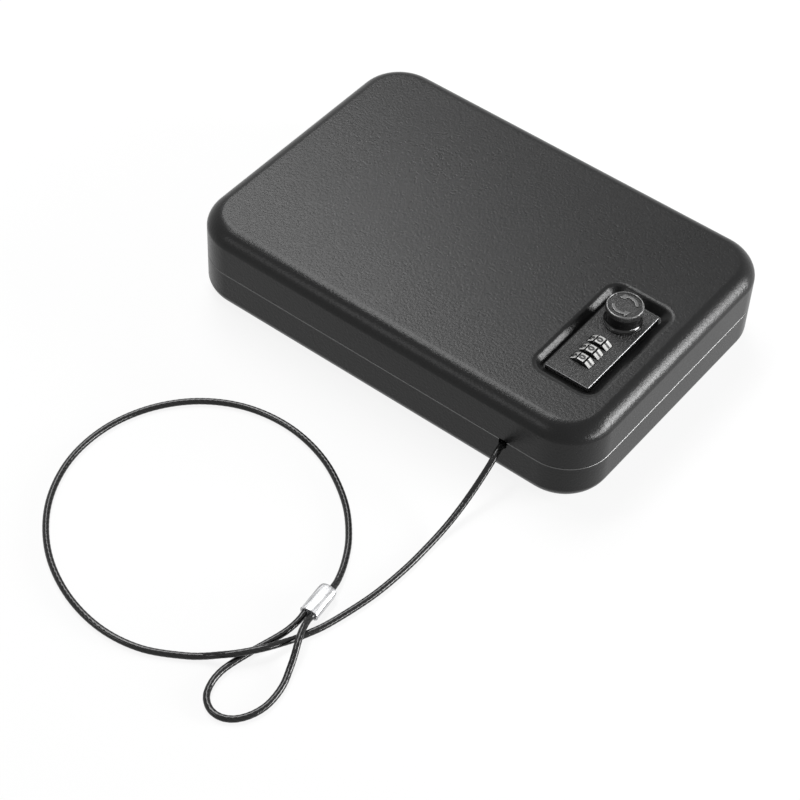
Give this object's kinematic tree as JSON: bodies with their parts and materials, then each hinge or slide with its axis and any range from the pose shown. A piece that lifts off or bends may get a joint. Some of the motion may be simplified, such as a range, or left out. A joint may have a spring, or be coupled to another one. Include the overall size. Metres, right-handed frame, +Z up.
{
  "type": "portable car safe",
  "caption": "Flat steel lock box with rounded corners, a hinged lid, a sunken combination lock with a turning knob, foam liners, and a steel security cable with a swaged eye.",
  "frame": {"origin": "middle of the flat underside of the tray, at floor height", "axes": "+X along the long side towards the lock, -Y towards the front side that the cable leaves, +Z up through the lid and the knob"},
  "size_m": [0.2422, 0.358, 0.058],
  "materials": {
    "powder_coat": "satin black powder coat with a fine texture on drawn steel sheet",
    "inner_paint": "thin matt black paint on steel",
    "crackle_paint": "black crackle paint on a zinc casting",
    "knob_black": "glossy black",
    "zinc_plate": "zinc plated steel",
    "cast_zinc": "die cast zinc, satin grey",
    "spring_steel": "bright spring steel",
    "dial_white": "smooth white, with black digits",
    "brass": "plain stamped and turned brass",
    "foam": "open cell black foam, egg crate pattern in the lid",
    "cable_jacket": "clear and black glossy jacket over twisted steel strands",
    "ferrule_metal": "bright pressed aluminium"
  },
  "bodies": {
    "base": {"base_shell": "powder_coat", "base_lip": "inner_paint", "base_foam": "foam", "base_hinge_leaf": "inner_paint", "hinge_pin": "zinc_plate", "latch_keeper": "zinc_plate", "cable_stop": "cast_zinc", "cable_run": "cable_jacket", "cable_eye": "cable_jacket", "cable_ferrule": "ferrule_metal", "base_rivet_1": "inner_paint", "base_rivet_2": "inner_paint", "base_rivet_3": "inner_paint"},
    "lid": {"lid_shell": "powder_coat", "lid_foam": "foam", "lid_hinge_leaf": "inner_paint", "lid_rivet_1": "inner_paint", "lid_rivet_2": "inner_paint", "lid_rivet_3": "inner_paint", "lock_plate": "crackle_paint", "lock_case": "cast_zinc", "lock_back_cover": "zinc_plate", "plate_screw_1": "zinc_plate", "plate_screw_2": "zinc_plate", "cover_screw_1": "zinc_plate", "cover_screw_2": "zinc_plate", "cover_screw_3": "zinc_plate", "cover_screw_4": "zinc_plate", "dial_axle": "spring_steel", "detent_spring": "spring_steel", "knob_ring": "knob_black"},
    "knob": {"knob_body": "knob_black", "knob_cap": "crackle_paint", "knob_spindle": "cast_zinc", "latch_cam": "zinc_plate", "cam_washer": "zinc_plate", "cam_nut": "zinc_plate"},
    "fence": {"fence_bar": "brass"},
    "reset": {"reset_lever": "brass"},
    "dial_1": {"dial_wheel_1": "dial_white", "dial_hub_1": "brass"},
    "dial_2": {"dial_wheel_2": "dial_white", "dial_hub_2": "brass"},
    "dial_3": {"dial_wheel_3": "dial_white", "dial_hub_3": "brass"}
  },
  "joints": [
    {"name": "lid_hinge", "type": "hinge", "parent": "base", "child": "lid", "pos_m": [-0.12, 0, 0.0239], "axis": [0, -1, 0], "range_deg": [0, 105]},
    {"name": "knob_turn", "type": "hinge", "parent": "lid", "child": "knob", "pos_m": [0.0865, -0.002, 0.0471], "axis": [0, 0, -1], "range_deg": [0, 90]},
    {"name": "fence_slide", "type": "slide", "parent": "lid", "child": "fence", "axis": [0, 0, -1], "range_m": [0, 0.0013]},
    {"name": "reset_slide", "type": "slide", "parent": "lid", "child": "reset", "axis": [0, 1, 0], "range_m": [0, 0.003]},
    {"name": "dial_1_turn", "type": "hinge", "parent": "lid", "child": "dial_1", "pos_m": [0.0865, -0.0214, 0.0423], "axis": [0, 1, 0], "continuous": true},
    {"name": "dial_2_turn", "type": "hinge", "parent": "lid", "child": "dial_2", "pos_m": [0.0865, -0.0287, 0.0423], "axis": [0, 1, 0], "continuous": true},
    {"name": "dial_3_turn", "type": "hinge", "parent": "lid", "child": "dial_3", "pos_m": [0.0865, -0.036, 0.0423], "axis": [0, 1, 0], "continuous": true}
  ],
  "couplings": [
    {"joint": "fence_slide", "follows": "knob_turn", "m_per_rad": 0.00076394}
  ]
}
